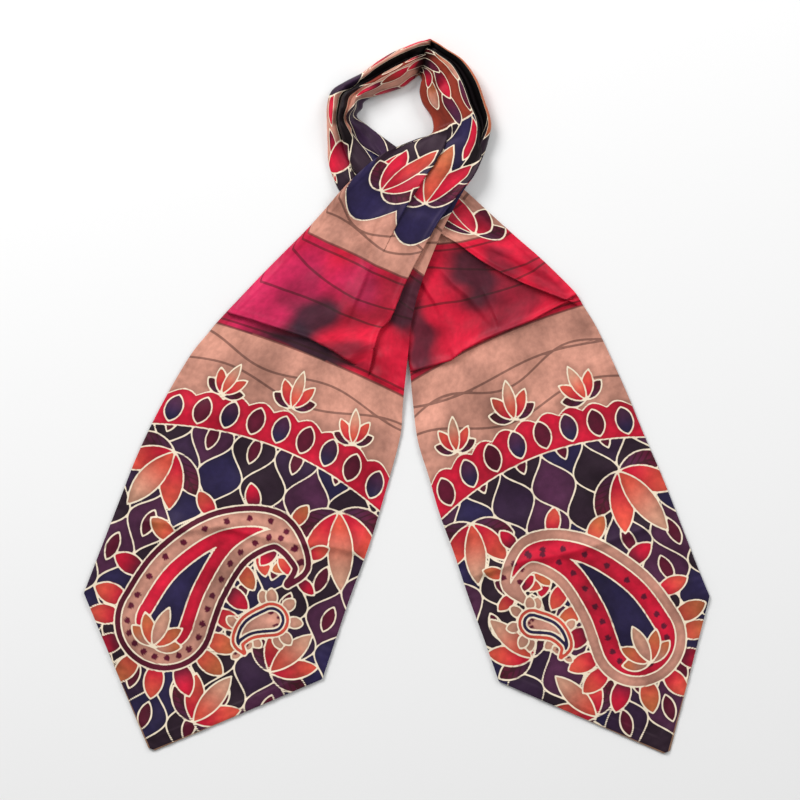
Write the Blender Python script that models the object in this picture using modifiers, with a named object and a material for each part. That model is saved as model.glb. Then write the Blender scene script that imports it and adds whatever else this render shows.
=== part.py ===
# Silk cravat, laid flat, wound in one loop with its two pointed ends crossed.
# Two layers of cloth, a face and a back, are sewn round the edge. The left end lies on top of the
# right one where they cross. Above the crossing the cloth is gathered into a band round the neck hole.
# Metres, +Z up, table at z = 0, origin under the middle of the outline.

import math

import bmesh
import bpy
from mathutils import Vector

MM = 0.001

# Driving sizes, in mm. The cut strip is about 168 mm wide at its broadest.
WALL = 1.0
SEAM_GAP = 0.3
TIP_BLUNT = 6.0
ACROSS = 18
TIP_ROWS = 5
ROWS_PER_SECTION = 2
BAND_STEPS = 3
PROFILE_STEPS = 2

# The under end climbs to the loop with its gathers; the front end lies on it with this spare height.
BEARING_RUN = 15.0
BEARING_LEAD = 1.5

# A fold fades over this share of its length at both ends, from this share of its height.
FOLD_FADE = 0.25
FOLD_END = 0.4

# Sections of the front end, from the corners of its point to the right side of the loop.
# x, y: middle of the section. width: edge to edge. turn: degrees from +X, left edge to right edge.
# lift: height of the underside where the cloth bears on the under end. gather: ridge height.
FRONT_SECTIONS = [
    dict(x=-127.7, y=-157.4, width=167.2, turn=-19.8, lift=0.0, gather=0.0),
    dict(x=-108.4, y=-104.3, width=165.0, turn=-22.5, lift=0.0, gather=0.0),
    dict(x=-94.6, y=-67.7, width=164.0, turn=-21.4, lift=0.0, gather=0.0),
    dict(x=-81.7, y=-34.6, width=158.6, turn=-21.0, lift=0.0, gather=0.0),
    dict(x=-67.5, y=-0.3, width=149.0, turn=-20.8, lift=0.6, gather=0.0),
    dict(x=-60.4, y=17.0, width=137.9, turn=-21.3, lift=1.9, gather=0.0),
    dict(x=-56.0, y=27.4, width=130.8, turn=-21.5, lift=2.6, gather=0.0),
    dict(x=-44.2, y=53.6, width=111.5, turn=-20.5, lift=3.1, gather=0.2),
    dict(x=-37.6, y=66.2, width=101.3, turn=-22.5, lift=3.3, gather=0.4),
    dict(x=-21.6, y=92.3, width=83.6, turn=-27.0, lift=4.4, gather=1.0),
    dict(x=-4.0, y=121.5, width=71.9, turn=-23.5, lift=6.8, gather=1.6),
    dict(x=7.0, y=137.0, width=66.5, turn=-20.5, lift=7.9, gather=2.0),
    dict(x=16.0, y=147.5, width=61.0, turn=-20.5, lift=8.9, gather=2.0),
    dict(x=25.0, y=155.0, width=54.5, turn=-20.5, lift=9.9, gather=1.8),
    dict(x=34.7, y=163.6, width=45.2, turn=-17.0, lift=10.4, gather=1.5),
    dict(x=41.7, y=171.2, width=37.5, turn=-9.5, lift=10.6, gather=1.2),
]
FRONT_TIP = dict(x=-161.7, y=-232.0, turn=-22.0)

# Sections of the under end, from the corners of its point to the left side of the loop.
UNDER_SECTIONS = [
    dict(x=136.9, y=-159.2, width=150.0, turn=22.0, lift=0.0, gather=0.0),
    dict(x=128.3, y=-136.4, width=148.6, turn=19.6, lift=0.0, gather=0.0),
    dict(x=117.0, y=-106.4, width=148.0, turn=19.0, lift=0.0, gather=0.0),
    dict(x=106.2, y=-76.9, width=146.2, turn=21.4, lift=0.0, gather=0.0),
    dict(x=95.5, y=-50.2, width=144.5, turn=22.0, lift=0.0, gather=0.0),
    dict(x=87.0, y=-25.7, width=141.8, turn=21.6, lift=0.0, gather=0.0),
    dict(x=78.6, y=-3.1, width=138.8, turn=21.2, lift=0.0, gather=0.0),
    dict(x=71.3, y=22.6, width=130.1, turn=20.6, lift=0.0, gather=0.0),
    dict(x=65.9, y=39.9, width=121.8, turn=19.6, lift=0.0, gather=0.0),
    dict(x=61.4, y=52.4, width=117.0, turn=17.0, lift=0.0, gather=0.2),
    dict(x=53.3, y=68.1, width=107.6, turn=15.0, lift=0.0, gather=0.3),
    dict(x=44.8, y=84.1, width=98.1, turn=11.3, lift=0.0, gather=0.7),
    dict(x=34.4, y=100.4, width=88.2, turn=8.0, lift=0.0, gather=1.2),
    dict(x=22.5, y=115.9, width=81.0, turn=6.4, lift=0.0, gather=1.8),
    dict(x=9.9, y=129.8, width=73.8, turn=8.5, lift=0.0, gather=2.2),
    dict(x=-3.0, y=141.0, width=62.0, turn=16.0, lift=0.0, gather=2.4),
    dict(x=-17.0, y=150.0, width=50.0, turn=29.0, lift=0.0, gather=2.4),
]
UNDER_TIP = dict(x=178.2, y=-234.0, turn=22.0)

# Gathers run along the cloth: their place across it, from 0 to 1, half width and share of the height.
FRONT_GATHERS = [
    dict(across=0.10, half=0.11, share=0.8),
    dict(across=0.36, half=0.13, share=1.0),
    dict(across=0.66, half=0.12, share=0.9),
    dict(across=0.90, half=0.10, share=0.6),
]
UNDER_GATHERS = [
    dict(across=0.12, half=0.12, share=0.9),
    dict(across=0.38, half=0.12, share=0.7),
    dict(across=0.64, half=0.13, share=1.0),
    dict(across=0.88, half=0.11, share=0.8),
]

# Folds lie across or along the cloth, as lines in plan. The crest stands on the line. The cloth falls
# over the run on the left of the line, seen from its start, and over the drop on its right.
FRONT_FOLDS = [
    dict(name="long pleat", height=3.4, run=18, drop=6,
         line=[(-21, 18), (-14, 38), (-8, 46), (2, 65), (7, 79), (15, 94), (28, 117)]),
    dict(name="tuck across", height=3.2, run=22, drop=6,
         line=[(-113, 56), (-93, 50), (-64, 40), (-52, 36), (-34, 27), (-21, 19)]),
    dict(name="crease up the stretch", height=1.4, run=8, drop=6, line=[(-4, 111), (9, 133), (20, 149)]),
    dict(name="press line", height=0.9, run=6, drop=9, line=[(-21, -105), (-162, -84)]),
]
UNDER_FOLDS = [
    dict(name="overlap to the side", height=3.4, run=16, drop=6,
         line=[(22, 109), (32, 105), (42, 100), (61, 86), (76, 79), (91, 71), (105, 67)]),
    dict(name="tuck across", height=2.4, run=16, drop=6,
         line=[(8, 16), (36, 24), (43, 30), (58, 38), (88, 50), (110, 63), (118, 67)]),
    dict(name="soft fold", height=1.6, run=12, drop=9, line=[(68, 44), (32, 82)]),
    dict(name="press line", height=0.9, run=6, drop=9, line=[(88, -107), (143, -95)]),
]

# The loop. Each row gives the section's inner and outer edge and its height above the table.
RIGHT_STATIONS = [
    dict(inner=(23.3, 175.1), outer=(60.3, 168.9), height=13.8),
    dict(inner=(23.1, 184.1), outer=(62.3, 180.5), height=15.0),
    dict(inner=(17.3, 193.1), outer=(58.4, 194.5), height=16.0),
    dict(inner=(15.1, 200.7), outer=(53.3, 208.5), height=16.5),
    dict(inner=(15.9, 206.9), outer=(44.2, 221.7), height=17.0),
    dict(inner=(16.4, 209.9), outer=(33.2, 229.2), height=17.5),
    dict(inner=(15.4, 212.0), outer=(22.7, 235.9), height=17.6),
]
TOP_STATIONS = [
    dict(inner=(14.3, 212.4), outer=(21.1, 236.0), height=17.4),
    dict(inner=(11.0, 209.6), outer=(10.0, 232.5), height=16.5),
    dict(inner=(4.8, 204.8), outer=(-2.1, 227.5), height=15.5),
    dict(inner=(-3.0, 201.8), outer=(-13.2, 220.9), height=15.0),
    dict(inner=(-11.0, 199.5), outer=(-23.2, 213.6), height=14.5),
]
LEFT_STATIONS = [
    dict(inner=(-11.4, 199.3), outer=(-23.7, 213.3), height=14.5),
    dict(inner=(-17.7, 197.2), outer=(-33.6, 208.4), height=14.5),
    dict(inner=(-21.8, 194.2), outer=(-42.8, 202.2), height=15.0),
    dict(inner=(-22.6, 190.5), outer=(-46.0, 192.0), height=15.0),
    dict(inner=(-26.2, 185.3), outer=(-46.0, 180.5), height=14.5),
    dict(inner=(-19.9, 180.0), outer=(-45.6, 168.0), height=11.5),
    dict(inner=(-11.2, 173.3), outer=(-44.7, 153.4), height=8.0),
    dict(inner=(4.4, 162.9), outer=(-39.2, 138.7), height=5.6),
]

# Profiles of the band, from its outer foot over the top to its inner foot. across: 0 at the outer
# edge, 1 at the inner one. up: share of the height. The valleys part the layers that lie inside.
RIGHT_PROFILE = [
    dict(across=0.10, up=0.00),
    dict(across=0.015, up=0.20),
    dict(across=0.00, up=0.54),
    dict(across=0.035, up=0.74),
    dict(across=0.08, up=0.62),
    dict(across=0.14, up=0.32),
    dict(across=0.20, up=0.34),
    dict(across=0.245, up=0.62),
    dict(across=0.25, up=0.90),
    dict(across=0.31, up=1.00),
    dict(across=0.46, up=0.88),
    dict(across=0.70, up=0.74),
    dict(across=0.90, up=0.62),
    dict(across=1.00, up=0.42),
    dict(across=0.99, up=0.14),
    dict(across=0.90, up=0.00),
]
TOP_PROFILE = [
    dict(across=0.12, up=0.00),
    dict(across=0.01, up=0.20),
    dict(across=0.00, up=0.60),
    dict(across=0.06, up=0.88),
    dict(across=0.14, up=0.90),
    dict(across=0.24, up=0.66),
    dict(across=0.33, up=0.46),
    dict(across=0.39, up=0.60),
    dict(across=0.42, up=0.90),
    dict(across=0.49, up=1.00),
    dict(across=0.62, up=0.90),
    dict(across=0.80, up=0.68),
    dict(across=0.95, up=0.46),
    dict(across=1.00, up=0.28),
    dict(across=0.98, up=0.10),
    dict(across=0.88, up=0.00),
]
LEFT_PROFILE = [
    dict(across=0.12, up=0.00),
    dict(across=0.00, up=0.14),
    dict(across=0.02, up=0.38),
    dict(across=0.16, up=0.58),
    dict(across=0.27, up=0.46),
    dict(across=0.34, up=0.38),
    dict(across=0.37, up=0.74),
    dict(across=0.44, up=0.96),
    dict(across=0.55, up=0.80),
    dict(across=0.62, up=0.60),
    dict(across=0.68, up=0.80),
    dict(across=0.76, up=0.92),
    dict(across=0.88, up=0.60),
    dict(across=0.98, up=0.40),
    dict(across=1.00, up=0.14),
    dict(across=0.90, up=0.00),
]

COLORS = {
    "front_tail_face": (0.045, 0.018, 0.030),
    "front_tail_back": (0.040, 0.016, 0.028),
    "under_tail_face": (0.060, 0.020, 0.032),
    "under_tail_back": (0.050, 0.018, 0.030),
    "loop_right": (0.300, 0.030, 0.040),
    "loop_top": (0.080, 0.022, 0.035),
    "loop_left": (0.040, 0.018, 0.030),
}


def smooth_step(value):
    value = min(max(value, 0.0), 1.0)
    return value * value * (3.0 - 2.0 * value)


def spline(values, place):
    """Read a smooth curve through the values at a place counted in rows."""
    last = len(values) - 1
    row = min(int(place), last - 1)
    part = place - row
    before, here = values[max(row - 1, 0)], values[row]
    after, beyond = values[row + 1], values[min(row + 2, last)]
    slope_here = (after - before) / 2
    slope_after = (beyond - here) / 2
    square, cube = part * part, part * part * part
    return (
        (2 * cube - 3 * square + 1) * here
        + (cube - 2 * square + part) * slope_here
        + (3 * square - 2 * cube) * after
        + (cube - square) * slope_after
    )


def read_section(sections, place):
    return {key: spline([section[key] for section in sections], place) for key in sections[0]}


def plan_point(section, across):
    """The point of a section at 0 (left edge) to 1 (right edge), seen from above."""
    turn = math.radians(section["turn"])
    reach = (across - 0.5) * section["width"]
    return section["x"] + reach * math.cos(turn), section["y"] + reach * math.sin(turn)


def gather_height(gathers, across, height):
    ridges = 0.0
    for gather in gathers:
        aside = abs(across - gather["across"]) / gather["half"]
        ridges += gather["share"] * smooth_step(1 - aside)
    return max(height, 0.0) * ridges


def nearest_on_line(line, x, y):
    """Distance from a point in plan to a line, less than 0 on its right, and the share along it."""
    corners = [Vector(corner) for corner in line]
    total = sum((end - start).length for start, end in zip(corners, corners[1:]))
    point = Vector((x, y))
    nearest, signed, along_share, passed = 1e9, 0.0, 0.0, 0.0
    for start, end in zip(corners, corners[1:]):
        along = end - start
        share = min(max((point - start).dot(along) / along.length_squared, 0.0), 1.0)
        away = point - (start + along * share)
        if away.length < nearest:
            nearest = away.length
            left = along.x * away.y - along.y * away.x > 0
            signed = away.length if left else -away.length
            along_share = (passed + share * along.length) / total
        passed += along.length
    return signed, along_share


def fold_height(folds, x, y):
    """Height of the tallest fold at a point in plan."""
    tallest = 0.0
    for fold in folds:
        side, share = nearest_on_line(fold["line"], x, y)
        reach = fold["run"] if side > 0 else fold["drop"]
        fade = smooth_step(share / FOLD_FADE + FOLD_END) * smooth_step((1 - share) / FOLD_FADE + FOLD_END)
        tallest = max(tallest, fold["height"] * fade * smooth_step(1 - abs(side) / reach))
    return tallest


def distance_inside_under(x, y):
    """How far a point lies inside the under end's hidden edge, in plan; less than 0 is outside."""
    edge = [Vector(plan_point(section, 0.0)) for section in UNDER_SECTIONS]
    edge.append(edge[-1] + (edge[-1] - edge[-2]) * 2)
    return -nearest_on_line(edge, x, y)[0]


def bearing(x, y):
    """Share of its full lift that the front end has at a point in plan."""
    return smooth_step((distance_inside_under(x, y) + BEARING_RUN) / (BEARING_RUN - BEARING_LEAD))


def front_height(section, across, x, y):
    height = max(section["lift"], 0.0) * bearing(x, y)
    height += gather_height(FRONT_GATHERS, across, section["gather"])
    return height + fold_height(FRONT_FOLDS, x, y)


def under_height(section, across, x, y):
    height = gather_height(UNDER_GATHERS, across, section["gather"])
    return height + fold_height(UNDER_FOLDS, x, y)


def end_sheet(sections, tip, height_of):
    """One end of the cravat as an open sheet: a grid bent to the sections, its last rows the point."""
    body_rows = ROWS_PER_SECTION * (len(sections) - 1)
    rows = TIP_ROWS + body_rows
    base = sections[0]
    blunt = dict(base, x=tip["x"], y=tip["y"], turn=tip["turn"], width=TIP_BLUNT)
    corners = [plan_point(base, side) for side in (0.0, 1.0)]
    ends = [plan_point(blunt, side) for side in (0.0, 1.0)]
    sheet = bmesh.new()
    bmesh.ops.create_grid(sheet, x_segments=ACROSS, y_segments=rows, size=0.5)
    for vert in sheet.verts:
        across = vert.co.x + 0.5
        row = (vert.co.y + 0.5) * rows
        if row < TIP_ROWS:
            share = row / TIP_ROWS
            left = Vector(ends[0]).lerp(Vector(corners[0]), share)
            right = Vector(ends[1]).lerp(Vector(corners[1]), share)
            x, y = left.lerp(right, across)
            section = base
        else:
            section = read_section(sections, (row - TIP_ROWS) / ROWS_PER_SECTION)
            x, y = plan_point(section, across)
        vert.co = Vector((x, y, height_of(section, across, x, y))) * MM
    sheet.normal_update()
    if sum(face.normal.z for face in sheet.faces) < 0:
        bmesh.ops.reverse_faces(sheet, faces=sheet.faces)
    return sheet


def profile_ring(station, profile):
    """The band's section at a station as a closed ring of points."""
    inner, outer = Vector(station["inner"]), Vector(station["outer"])
    points = []
    for step in range((len(profile) - 1) * PROFILE_STEPS + 1):
        row = read_section(profile, step / PROFILE_STEPS)
        flat = outer.lerp(inner, row["across"])
        up = max(row["up"], 0.0) * station["height"]
        points.append(Vector((flat.x, flat.y, up)) * MM)
    return points


def read_station(stations, place):
    station = {}
    for key in stations[0]:
        values = [row[key] for row in stations]
        if isinstance(values[0], tuple):
            station[key] = tuple(spline([value[axis] for value in values], place) for axis in (0, 1))
        else:
            station[key] = spline(values, place)
    return station


def band_solid(stations, profile):
    """A stretch of the loop: a loft through the band's profile at each station, closed at both ends."""
    steps = BAND_STEPS * (len(stations) - 1)
    band = bmesh.new()
    rings = []
    for step in range(steps + 1):
        ring = profile_ring(read_station(stations, step / BAND_STEPS), profile)
        rings.append([band.verts.new(point) for point in ring])
    for ring, following in zip(rings, rings[1:]):
        for index in range(len(ring)):
            beside = (index + 1) % len(ring)
            band.faces.new((ring[index], ring[beside], following[beside], following[index]))
    band.faces.new(rings[0])
    band.faces.new(rings[-1])
    bmesh.ops.recalc_face_normals(band, faces=band.faces)
    return band


def make_material(name):
    material = bpy.data.materials.new(name + "_satin")
    material.use_nodes = True
    shader = material.node_tree.nodes["Principled BSDF"]
    shader.inputs["Base Color"].default_value = (*COLORS[name], 1.0)
    shader.inputs["Roughness"].default_value = 0.42
    shader.inputs["Metallic"].default_value = 0.0
    return material


def add_object(name, shape, collection):
    mesh = bpy.data.meshes.new(name)
    shape.to_mesh(mesh)
    shape.free()
    mesh.shade_smooth()
    mesh.materials.append(make_material(name))
    piece = bpy.data.objects.new(name, mesh)
    collection.objects.link(piece)
    return piece


def add_panels(name, sheet, collection):
    """The back and the face, both walls on the same sheet, the face a seam gap above the back."""
    for panel, lowest in (("back", 0.0), ("face", WALL + SEAM_GAP)):
        piece = add_object(f"{name}_{panel}", sheet.copy(), collection)
        wall = piece.modifiers.new("wall", "SOLIDIFY")
        wall.thickness = WALL * MM
        wall.offset = 1.0 + 2.0 * lowest / WALL
        wall.use_rim = True
    sheet.free()


def main():
    for old in list(bpy.data.objects):
        bpy.data.objects.remove(old, do_unlink=True)
    collection = bpy.data.collections.new("silk_cravat")
    bpy.context.scene.collection.children.link(collection)
    add_panels("front_tail", end_sheet(FRONT_SECTIONS, FRONT_TIP, front_height), collection)
    add_panels("under_tail", end_sheet(UNDER_SECTIONS, UNDER_TIP, under_height), collection)
    add_object("loop_right", band_solid(RIGHT_STATIONS, RIGHT_PROFILE), collection)
    add_object("loop_top", band_solid(TOP_STATIONS, TOP_PROFILE), collection)
    add_object("loop_left", band_solid(LEFT_STATIONS, LEFT_PROFILE), collection)


main()
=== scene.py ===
# Silk cravat laid flat, wound once round, its two pointed ends crossed and fanned out.
# Each end is one long satin strip, a face and a back, that runs from its point over the crossing
# into the gathered band round the neck hole. The two strips meet at the sharp kink at the top.
import math

import bmesh
import bpy
import numpy as np
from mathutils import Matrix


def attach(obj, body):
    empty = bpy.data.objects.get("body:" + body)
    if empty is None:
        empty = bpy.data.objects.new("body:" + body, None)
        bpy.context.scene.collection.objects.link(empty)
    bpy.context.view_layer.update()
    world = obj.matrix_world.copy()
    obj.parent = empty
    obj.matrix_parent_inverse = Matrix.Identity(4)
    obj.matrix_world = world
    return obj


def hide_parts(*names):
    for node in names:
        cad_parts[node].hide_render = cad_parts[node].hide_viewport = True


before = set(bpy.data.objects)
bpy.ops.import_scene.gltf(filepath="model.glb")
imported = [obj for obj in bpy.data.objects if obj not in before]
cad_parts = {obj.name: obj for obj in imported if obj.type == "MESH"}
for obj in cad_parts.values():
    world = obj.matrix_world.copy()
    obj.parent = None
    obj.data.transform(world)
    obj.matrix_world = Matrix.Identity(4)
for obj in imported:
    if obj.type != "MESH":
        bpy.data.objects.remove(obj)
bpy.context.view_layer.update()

mm = 0.001

# Camera: straight above, far enough back that the ends show as in the photograph.
camera = {"lens": 200.0, "sensor": 36.0, "frameWidth": 0.528, "lookX": 0.0022, "lookY": -0.0017}


def tableRows(columns, rows):  # the rows of a table as dictionaries, by the names of its columns
    return [dict(zip(columns.split(), row)) for row in rows]


def hexColor(text):  # sRGB hex to linear red, green and blue
    values = np.array([int(text[i:i + 2], 16) / 255 for i in (1, 3, 5)])
    return np.where(values <= 0.04045, values / 12.92, ((values + 0.055) / 1.055) ** 2.4)


def smooth(value):
    value = np.clip(value, 0.0, 1.0)
    return value * value * (3 - 2 * value)


def curveThrough(values, place):  # a smooth curve through the values, read at places counted in rows
    values = np.asarray(values, float)
    last = len(values) - 1
    row = np.clip(np.floor(place).astype(int), 0, last - 1)
    part = place - row
    before, here = values[np.maximum(row - 1, 0)], values[row]
    after, beyond = values[row + 1], values[np.minimum(row + 2, last)]
    square, cube = part * part, part ** 3
    return ((2 * cube - 3 * square + 1) * here + (cube - 2 * square + part) * (after - before) / 2
            + (3 * square - 2 * cube) * after + (cube - square) * (beyond - here) / 2)


# The two strips. x, y: middle of a section in mm, width: edge to edge, turn: degrees, left to right
# edge, lift: height of the underside. The ends lie flat, the band rows after them stand on edge.
sectionColumns = "x y width turn lift"
bandColumns = "left right height"  # both edges of the band in plan and the height of its crests
# Creases in plan, mm. A fold falls over its run on the line's left and its drop on the right. fade:
# the share of the line over which each end dies away.
creaseColumns = "kind height run fade line drop"

frontStrip = {
    "cut": 166.0,
    "tip": {"x": -161.7, "y": -232.0, "turn": -22.0, "blunt": 5.0, "apex": 0.46, "depth": 81.4},
    "sections": tableRows(sectionColumns, [
        (-127.7, -157.4, 167.2, -19.8, 0), (-108.4, -104.3, 165, -22.5, 0), (-94.6, -67.7, 164, -21.4, 0),
        (-81.7, -34.6, 158.6, -21, 0), (-67.5, -0.3, 149, -20.8, 0.6), (-60.4, 17, 137.9, -21.3, 1.9),
        (-56, 27.4, 130.8, -21.5, 2.6), (-44.2, 53.6, 111.5, -20.5, 3.1), (-37.6, 66.2, 101.3, -22.5, 3.3),
        (-21.6, 92.3, 83.6, -27, 4.4), (-4, 121.5, 71.9, -23.5, 6.8), (7, 137, 66.5, -20.5, 7.9),
        (16, 147.5, 61, -20.5, 8.9), (25, 155, 54.5, -20.5, 9.9), (34.7, 163.6, 45.2, -17, 10.4),
        (41.7, 171.2, 37.5, -9.5, 10.6)
    ]),
    "band": tableRows(bandColumns, [
        ((23.1, 184.1), (62.3, 180.5), 15), ((17.3, 193.1), (58.4, 194.5), 16),
        ((15.1, 200.7), (53.3, 208.5), 16.5), ((15.9, 206.9), (44.2, 221.7), 17),
        ((16.4, 209.9), (33.2, 229.2), 17.5), ((15.2, 212), (22.5, 235.9), 17.6),
        ((12.9, 212.3), (20.6, 235.9), 8)
    ]),
    "bandShare": [0] * 12 + [0.04, 0.14, 0.34, 0.64, 0.9] + [1] * 6,
    # Long pleats. rest: laid cloth to the right of the pleat, depth: how far it goes under, over: the
    # side that lies on top, roll: height of its rounded lip. Read over the same stations.
    "pleats": [
        {"rest": [40, 40, 40, 40, 38, 36, 32, 24.5, 16, 12.5, 7.5, 4] + [2] * 11,
         "depth": [0] * 7 + [18, 24, 27] + [28] * 13, "over": "left", "roll": 3.2, "run": 18.0},
        {"rest": [42] * 10 + [41, 38, 36, 34] + [30] * 9,
         "depth": [0] * 10 + [3, 8, 12, 15] + [18] * 9, "over": "left", "roll": 0.9, "run": 12.0},
    ],
    # A tuck across: the upper cloth lies over the lower. u, s: its lip on the laid cloth, mm
    "tuck": {"u": [0, 22, 54, 69, 92, 106, 118], "s": [285.6, 287.3, 288.7, 289.3, 287.4, 285.2, 284],
             "depth": [4.5, 5.5, 6, 6.5, 6, 5, 0], "roll": 4.2, "run": 20.0},
    "creases": tableRows(creaseColumns, [
        ("fold", 2, 10, 0.3, [(-34, 47), (-28.2, 61.7), (-22.3, 74.9), (-17.7, 87.5), (-15, 95)], 2.6),
        ("valley", 0.9, 1.6, 0.22, [(-11, 118), (-15, 106), (-20, 94)]),
        ("ridge", 1.5, 5, 0.3, [(-8, 106), (4.1, 124), (11, 136), (22, 151)]),
        ("valley", 2.6, 7, 0.3, [(2, 129), (18, 127), (36, 121)]),
        ("valley", 1.2, 5, 0.35, [(-26, 112), (-14, 126), (-6, 138)]),
        ("fold", 1.6, 8, 0.3, [(-22, 22), (-13, 13), (-4, 8), (8, 5)], 3),
        ("ridge", 1.6, 5, 0.35, [(-11, 34), (-8, 22), (-9, 8)]),
        ("fold", 2.2, 10, 0.12, [(-176, -81), (-152, -83), (-138, -88), (-116, -85), (-95, -91),
         (-66, -96.5), (-40, -99), (-12, -105)], 4.5),
        ("ridge", 1.2, 8, 0.35, [(-70, 96), (-84, 72), (-96, 58)]),
        ("valley", 1, 7, 0.35, [(-50, 100), (-62, 76), (-70, 50)]),
        ("ridge", 1, 9, 0.4, [(-34, 4), (-30, -34), (-40, -76)]),
        ("valley", 0.9, 8, 0.4, [(-78, 26), (-88, -14), (-84, -60)]),
        ("ridge", 0.8, 8, 0.4, [(-116, 14), (-126, -26), (-122, -66)])
    ]),
    "bandCreases": tableRows(creaseColumns, [
        ("valley", 9, 3.4, 0.12, [(13.6, 208), (15.4, 214), (18.6, 224), (22.6, 237)]),
        ("ridge", 1.2, 2.5, 0.22, [(20, 205), (27, 213), (31, 222)]),
        ("valley", 1.2, 2.5, 0.22, [(22, 199), (31, 206), (38, 216)]),
        ("fold", 2.6, 9, 0.22, [(42, 181), (30, 176), (20, 171)], 2)
    ]),
}

underStrip = {
    "cut": 150.0,
    "tip": {"x": 178.2, "y": -234.0, "turn": 22.0, "blunt": 5.0, "apex": 0.58, "depth": 86.7},
    "sections": tableRows(sectionColumns, [
        (136.9, -159.2, 150, 22), (128.3, -136.4, 148.6, 19.6), (117, -106.4, 148, 19),
        (106.2, -76.9, 146.2, 21.4), (95.5, -50.2, 144.5, 22), (87, -25.7, 141.8, 21.6),
        (78.6, -3.1, 138.8, 21.2), (71.3, 22.6, 130.1, 20.6), (65.9, 39.9, 121.8, 19.6),
        (61.4, 52.4, 117, 17), (53.3, 68.1, 107.6, 15), (44.8, 84.1, 98.1, 11.3), (34.4, 100.4, 88.2, 8),
        (22.5, 115.9, 81, 6.4), (9.9, 129.8, 73.8, 8.5), (-3, 141, 62, 16), (-17, 150, 50, 29)
    ]),
    "band": tableRows(bandColumns, [
        ((-44.7, 153.4), (-11.2, 173.3), 7.6), ((-45.6, 168), (-19.9, 180), 11.5),
        ((-46, 180.5), (-26.2, 185.3), 14.5), ((-46, 192), (-22.6, 190.5), 15),
        ((-42.8, 202.2), (-21.8, 194.2), 15), ((-33.6, 208.4), (-17.7, 197.2), 14.5),
        ((-23.2, 213.6), (-11, 199.5), 14.5), ((-13.2, 220.9), (-3, 201.8), 15),
        ((-2.1, 227.5), (4.8, 204.8), 15.5), ((10, 232.5), (11, 209.6), 16.5),
        ((21.3, 236), (14.5, 212.4), 17.4), ((23.2, 235.6), (16.8, 212), 8)
    ]),
    "bandShare": [0] * 15 + [0.3, 0.7, 0.95] + [1] * 11,
    "pleats": [
        {"rest": [4] * 9 + [13.5, 27, 39, 48, 58, 56, 48, 40] + [34] * 12,
         "depth": [0] * 9 + [9, 15, 18, 20, 21, 22, 22, 22] + [22] * 12, "over": "right", "roll": 4.4,
         "run": 15.0},
        {"rest": [60] * 12 + [60, 56, 52, 48, 44] + [40] * 12,
         "depth": [0] * 12 + [0, 4, 8, 12, 16] + [18] * 12, "over": "left", "roll": 1.2, "run": 14.0},
    ],
    "tuck": {"u": [0, 35, 46, 65, 105, 137, 150], "s": [295.5, 293.4, 296.6, 298.9, 300.4, 306.7, 308.7],
             "depth": [3, 3.5, 4, 4, 4.5, 4, 2.5], "roll": 3.4, "run": 15.0},
    "creases": tableRows(creaseColumns, [
        ("valley", 1.7, 3.2, 0.35, [(44, 100), (66, 92), (86, 83), (103, 75), (115, 70)]),
        ("ridge", 1, 5, 0.35, [(52, 104), (76, 95), (94, 86), (112, 76)]),
        ("fold", 1.8, 8, 0.35, [(12, 84), (17.3, 75.6), (26.5, 61), (31, 50)], 2.4),
        ("fold", 1.9, 9, 0.35, [(26, 88), (37.8, 74.3), (45.7, 67.6), (54.3, 58.4), (66, 44)], 3),
        ("fold", 1.6, 8, 0.3, [(55, 75), (60.2, 65), (66.8, 51.2), (69, 42)], 2.6),
        ("ridge", 2, 5, 0.35, [(28, 60), (35.8, 38), (42, 20)]),
        ("valley", 1, 5, 0.35, [(18, 50), (24, 34), (28, 18)]),
        ("fold", 2, 9, 0.12, [(44, -120), (84, -108), (108.4, -104), (141.4, -94.7), (176, -82)], 4.5),
        ("ridge", 1, 9, 0.4, [(56, 14), (74, -24), (90, -70)]),
        ("valley", 0.9, 8, 0.4, [(96, 40), (112, 0), (122, -40)]),
        ("valley", 0.8, 9, 0.4, [(30, 6), (48, -40), (60, -84)])
    ]),
    "bandCreases": tableRows(creaseColumns, [
        ("valley", 9, 3.4, 0.12, [(13.6, 208), (15, 214), (17.6, 224), (21.2, 237)]),
        ("valley", 1.6, 2.2, 0.22, [(12, 209), (9, 220), (6, 231)]),
        ("ridge", 1.2, 3, 0.22, [(-16, 198), (-24, 206), (-30, 214)]),
        ("valley", 1.4, 2.4, 0.22, [(-20, 196), (-30, 202), (-40, 207)]),
        ("ridge", 1.6, 3, 0.22, [(-24, 188), (-34, 190), (-46, 189)]),
        ("valley", 1.3, 2.4, 0.22, [(-25, 183), (-36, 182), (-46, 178)]),
        ("valley", 1, 2.4, 0.22, [(-32, 180), (-20, 168), (-8, 156)])
    ]),
}

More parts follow.
